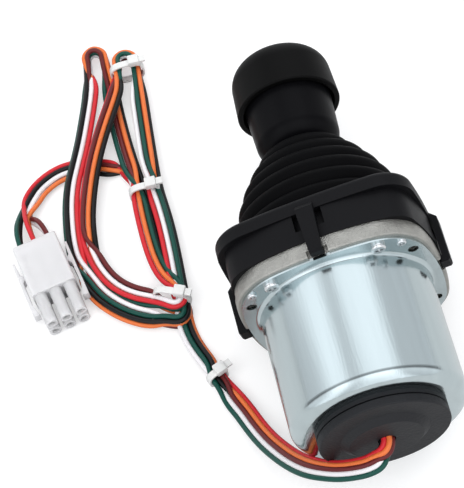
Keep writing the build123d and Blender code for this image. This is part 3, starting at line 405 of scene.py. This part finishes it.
def make_tie(name, middle, along, wide, tall, head_side):
    """Strap round a bundle of a width and height, with its head at one side of the top."""
    deselect_all()
    bpy.ops.mesh.primitive_circle_add(vertices=48, radius=1, fill_type="NOTHING")
    strap = bpy.context.object
    strap.name = name
    for vertex in strap.data.vertices:
        angle = math.atan2(vertex.co.y, vertex.co.x)
        squared = (abs(math.cos(angle)) ** 3 + abs(math.sin(angle)) ** 3) ** (-1 / 3)
        vertex.co.x = math.cos(angle) * squared * wide / 2
        vertex.co.y = math.sin(angle) * squared * tall / 2
    bpy.ops.object.mode_set(mode="EDIT")
    bpy.ops.mesh.select_all(action="SELECT")
    bpy.ops.mesh.extrude_region_move(TRANSFORM_OT_translate={"value": (0, 0, TIE_WIDTH)})
    bpy.ops.mesh.select_all(action="SELECT")
    bpy.ops.transform.translate(value=(0, 0, -TIE_WIDTH / 2))
    bpy.ops.mesh.normals_make_consistent(inside=False)
    bpy.ops.object.mode_set(mode="OBJECT")
    wall = strap.modifiers.new("wall", "SOLIDIFY")
    wall.thickness = TIE_THICKNESS
    wall.offset = 1
    edges = strap.modifiers.new("edges", "BEVEL")
    edges.width = 0.0003
    edges.segments = 2
    apply_all(strap)
    deselect_all()
    head_height = tall / 2 + HEAD_LIFT
    bpy.ops.mesh.primitive_cube_add(size=1, location=(head_side * wide * HEAD_PLACE, head_height, 0))
    head = bpy.context.object
    head.scale = (HEAD_LENGTH, HEAD_HEIGHT, HEAD_WIDTH)
    bpy.ops.object.transform_apply(location=True, rotation=True, scale=True)
    bpy.ops.object.mode_set(mode="EDIT")
    bpy.ops.mesh.select_all(action="DESELECT")
    shape = bmesh.from_edit_mesh(head.data)
    for face in shape.faces:
        face.select = face.normal.x * head_side < -0.9
    bmesh.update_edit_mesh(head.data)
    bpy.ops.mesh.inset(thickness=MOUTH_RIM, depth=0)
    bpy.ops.mesh.extrude_region_move(TRANSFORM_OT_translate={"value": (head_side * MOUTH_DEPTH, 0, 0)})
    bpy.ops.object.mode_set(mode="OBJECT")
    corners = head.modifiers.new("corners", "BEVEL")
    corners.width = 0.0005
    corners.segments = 2
    apply_all(head)
    deselect_all()
    end_place = wide * HEAD_PLACE + HEAD_LENGTH / 2 + END_SHIFT
    bpy.ops.mesh.primitive_cube_add(size=1, location=(head_side * end_place, head_height, 0))
    end = bpy.context.object
    end.scale = (END_LENGTH, TIE_THICKNESS, TIE_WIDTH)
    bpy.ops.object.transform_apply(location=True, rotation=True, scale=True)
    head.select_set(True)
    strap.select_set(True)
    bpy.context.view_layer.objects.active = strap
    bpy.ops.object.join()
    bpy.ops.object.shade_smooth_by_angle(angle=math.radians(40))
    forward = Vector(along).normalized()
    sideways = Vector((0, 0, 1)).cross(forward).normalized()
    settle(strap, Matrix.Translation(Vector(middle)) @ Matrix(
        (sideways, forward.cross(sideways), forward)).transposed().to_4x4())
    strap.data.materials.append(tie_nylon)
    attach(strap, "housing")
    return strap


ties = [
    make_tie("tie_bottom", (-0.0690, 0.0150, 0.0062), (0.45, 0.89, 0), 0.0145, 0.0112, -1),
    make_tie("tie_middle", (-0.0700, 0.0706, 0.0056), (0.03, 1, 0), 0.0120, 0.0102, -1),
    make_tie("tie_top", (-0.0650, 0.1370, 0.0066), (0.03, 1, 0), 0.0138, 0.0106, -1),
    make_tie("tie_lead", (-0.0585, -0.0262, 0.0045), (-0.36, 0.933, 0), 0.0072, 0.0064, -1),
]
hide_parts("cable_ties")


# Plug: two rows of three silos, moulded in natural nylon, so it is milky and lets some light through.
# The contacts are crimped to the wires and pushed in from behind. They are tin-plated brass.
milky_nylon = finish("milky_nylon", "#DBDADB", 0.3, 0.0008, relief=0.03, shade=0.05, Subsurface_Weight=0.8,
                     Subsurface_Radius=(0.006, 0.006, 0.006), Subsurface_Scale=1.0)
dress(milky_nylon, "nylon", "connector_housing")
tin_plate = finish("tin_plated_brass", "#C9C6BE", 0.3, 0.0004, metallic=1.0, relief=0.05)
dress(tin_plate, "brass", "connector_contacts")


# Can: deep-drawn from thin steel sheet and zinc-plated, so it shines softly with a cold tint, with
# faint drawing lines along its wall and small scuffs from handling.
zinc_plate = finish("zinc_plated_drawn_steel", "#BDC9CB", 0.17, 0.0008, metallic=1.0, relief=0.05,
                    shade=0.22, stretch=(1, 0.08, 1))
dress(zinc_plate, "drawn_steel", "can")


# Screws: pan heads and small heads, cold-headed from steel wire, with a cross recess. The plating is
# brighter than the can's.
bright_zinc = finish("bright_zinc_plated_steel", "#D3D6D7", 0.2, 0.0004, metallic=1.0, relief=0.05, shade=0.1)
dress(bright_zinc, "screw_steel", "can_screws", "frame_screws")


# Frame: a zinc pressure die casting, left as cast, so it is dull grey, grainy and mottled. It carries
# the bezel and the boot above, and the lugs in which the lever's gimbal turns below.
die_cast_zinc = finish("die_cast_zinc", "#B3B2AC", 0.42, 0.0006, metallic=0.9, relief=0.7, shade=0.45)
dress(die_cast_zinc, "cast_metal", "mounting_frame")


# Bezel: glass-filled nylon, injection-moulded in black with a satin spark-eroded face. A snap hook
# in the middle of each side catches under the frame.
bezel_nylon = finish("moulded_black_nylon", "#0E0E10", 0.48, 0.0003, relief=0.12, shade=0.2,
                     Specular_IOR_Level=0.1)
dress(bezel_nylon, "bezel_plastic", "bezel")


# Boot: bellows of black neoprene, moulded in one piece. It crosses the fore-and-aft joint and the side
# joint, so it is drawn as two pieces that meet in a groove.
BOOT_WALL = 0.0012
BOOT_ROLLS = 6
STEPS_PER_ROLL = 16
FOOT_RADIUS = 0.0352
NECK_RADIUS = 0.0146
FOOT_HEIGHT = 0.0287
ROLLS_HEIGHT = 0.0439
TAPER_POWER = 1.9
ROLL_BULGE = 0.0026
ROLL_POWER = 0.7
GROOVE_DEPTH = 0.0009
BULGE_OUTWARD = 0.9
BULGE_UPWARD = 0.35
BOOT_VERTICES = 112
boot_neoprene = finish("moulded_black_neoprene", "#060607", 0.6, 0.0004, relief=0.2, shade=0.25,
                       Specular_IOR_Level=0.04)


def boot_profile(first, last):
    """Radius and height of the rolls from the first to the last, with the narrow grooves between."""
    profile = []
    for roll in range(first, last):
        for step in range(STEPS_PER_ROLL):
            share = step / STEPS_PER_ROLL
            place = (roll + share) / BOOT_ROLLS
            radius = FOOT_RADIUS - (FOOT_RADIUS - NECK_RADIUS) * place ** TAPER_POWER
            height = FOOT_HEIGHT + ROLLS_HEIGHT * place
            bulge = ROLL_BULGE * abs(math.sin(math.pi * share)) ** ROLL_POWER - GROOVE_DEPTH
            profile.append((radius + bulge * BULGE_OUTWARD, height + bulge * BULGE_UPWARD))
    return profile


def make_boot(name, profile):
    """Skin turned about the lever axis ring by ring, then given its wall."""
    deselect_all()
    radius, height = profile[0]
    bpy.ops.mesh.primitive_circle_add(vertices=BOOT_VERTICES, radius=radius, location=(0, 0, height),
                                      fill_type="NOTHING")
    boot = bpy.context.object
    boot.name = name
    bpy.ops.object.transform_apply(location=True, rotation=True, scale=True)
    bpy.ops.object.mode_set(mode="EDIT")
    bpy.ops.mesh.select_all(action="SELECT")
    for next_radius, next_height in profile[1:]:
        bpy.ops.mesh.extrude_region_move(TRANSFORM_OT_translate={"value": (0, 0, next_height - height)})
        widening = next_radius / radius
        bpy.ops.transform.resize(value=(widening, widening, 1), center_override=(0, 0, next_height))
        radius, height = next_radius, next_height
    bpy.ops.mesh.select_all(action="SELECT")
    bpy.ops.mesh.normals_make_consistent(inside=False)
    bpy.ops.object.mode_set(mode="OBJECT")
    wall = boot.modifiers.new("wall", "SOLIDIFY")
    wall.thickness = BOOT_WALL
    wall.offset = -1
    apply_all(boot)
    bpy.ops.object.shade_smooth_by_angle(angle=math.radians(50))
    settle(boot, laid)
    boot.data.materials.append(boot_neoprene)
    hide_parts("bellows_boot")
    return boot


# The seat lies inside the bezel, and the cuff grips the lever.
seat = [(0.0375, 0.0130), (0.0375, 0.0140), (0.0350, 0.0145), (0.0350, 0.0270)]
cuff = [(0.0140, 0.0719), (0.0075, 0.0721), (0.0058, 0.0719), (0.0058, 0.0660)]
boot_base = make_boot("boot_base", seat + boot_profile(0, 3) + boot_profile(3, 4)[:1])
boot_neck = make_boot("boot_neck", boot_profile(3, 6) + cuff)
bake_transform(boot_base)
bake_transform(boot_neck)


# Grommet: soft rubber disc, moulded in charcoal grey and buttoned into the hole in the can's end. It
# is matt, and a little dusty in its hollow.
charcoal_rubber = finish("charcoal_rubber", "#1C1D20", 0.62, 0.0010, relief=0.2, shade=0.5,
                         Specular_IOR_Level=0.3)
dress(charcoal_rubber, "grommet_rubber", "cable_grommet")


# Knob and lock ring: two round mouldings in black acetal, satin from a fine-grained tool. The ring
# is a little smoother from the fingers that lift it.
satin_acetal = finish("satin_black_acetal", "#0A0A0A", 0.44, 0.0003, relief=0.1, shade=0.2,
                      Specular_IOR_Level=0.05)
dress(satin_acetal, "knob_plastic", "knob_cap")
worn_acetal = finish("worn_black_acetal", "#0B0B0D", 0.36, 0.0003, relief=0.06, shade=0.2,
                     Specular_IOR_Level=0.05)
dress(worn_acetal, "knob_plastic", "lock_ring")


# Lever and lock: ground steel tube with a sliding rod and a cross pin, and a turned brass insert in
# the knob. The two centring springs are coiled from bright music wire.
shaft_steel = finish("ground_steel", "#B9BBBD", 0.25, 0.0003, metallic=1.0, relief=0.04, stretch=(1, 6, 1))
dress(shaft_steel, "shaft_steel", "lever_shaft", "lock_rod", "lock_pin", "pivot_hub_pins",
      "gimbal_ring_pins", "bail_pins")
turned_brass = finish("turned_brass", "#B4934E", 0.3, 0.0003, metallic=1.0, relief=0.05)
dress(turned_brass, "brass", "knob_insert")
music_wire = finish("music_wire", "#8E9093", 0.3, 0.0002, metallic=1.0, relief=0.03)
dress(music_wire, "spring_steel", "fore_aft_spring", "side_spring")


# Lock ring spring: a coil of music wire round the lever, squeezed between the ring and the knob. It
# is wound from a short section of wire.
SPRING_RADIUS = 0.00715
SPRING_WIRE = 0.0005
SPRING_TURNS = 4
SPRING_BOTTOM = 0.0923
SPRING_TOP = 0.1032
STEPS_PER_TURN = 32
deselect_all()
bpy.ops.mesh.primitive_circle_add(vertices=12, radius=SPRING_WIRE, fill_type="NGON",
                                  location=(SPRING_RADIUS, 0, SPRING_BOTTOM + SPRING_WIRE),
                                  rotation=(math.radians(90), 0, 0))
spring = bpy.context.object
spring.name = "ring_spring"
bpy.ops.object.transform_apply(location=True, rotation=True, scale=True)
winding = spring.modifiers.new("winding", "SCREW")
winding.angle = 2 * math.pi * SPRING_TURNS
winding.screw_offset = SPRING_TOP - SPRING_BOTTOM - 2 * SPRING_WIRE
winding.steps = STEPS_PER_TURN * SPRING_TURNS
winding.render_steps = STEPS_PER_TURN * SPRING_TURNS
winding.axis = "Z"
apply_all(spring)
bpy.ops.object.mode_set(mode="EDIT")
bpy.ops.mesh.select_all(action="SELECT")
bpy.ops.mesh.normals_make_consistent(inside=False)
bpy.ops.object.mode_set(mode="OBJECT")
bpy.ops.object.shade_smooth_by_angle(angle=math.radians(50))
settle(spring, laid)
spring.data.materials.append(music_wire)
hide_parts("lock_ring_spring")
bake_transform(spring)


# Gimbal and chassis: milled and punched steel parts that turn in bushes of white acetal. The lock
# plate, and the circuit board on its spacers, are screwed to four posts under the frame.
milled_steel = finish("milled_steel", "#A6A9AC", 0.33, 0.0004, metallic=1.0, relief=0.08)
dress(milled_steel, "shaft_steel", "pivot_hub", "gimbal_ring", "sensor_bail", "lock_plate")
dress(bright_zinc, "screw_steel", "chassis_posts", "board_spacers", "board_screws")
white_acetal = finish("white_acetal", "#E4E3DC", 0.4, 0.0004, relief=0.04)
dress(white_acetal, "nylon", "ring_bushes", "frame_bushes")


# Sensors and circuit board: two sensors encapsulated in black epoxy, and a glass-epoxy board under
# green solder mask, with a moulded header and the inner leads in black PVC.
epoxy_case = finish("black_epoxy_case", "#16171A", 0.5, 0.0003, relief=0.1)
dress(epoxy_case, "sensor_plastic", "fore_aft_sensor", "side_sensor")
solder_mask = finish("solder_mask_green", "#1E5B38", 0.3, 0.0012, relief=0.06, shade=0.25)
dress(solder_mask, "board_laminate", "circuit_board")
header_nylon = finish("header_nylon", "#E8E3D3", 0.45, 0.0004, relief=0.05)
dress(header_nylon, "nylon", "board_header")
black_sleeve = finish("pvc_sleeve_black", "#1B1B1D", 0.4, 0.0010, relief=0.03)
dress(black_sleeve, "wire_insulation", "inner_leads")
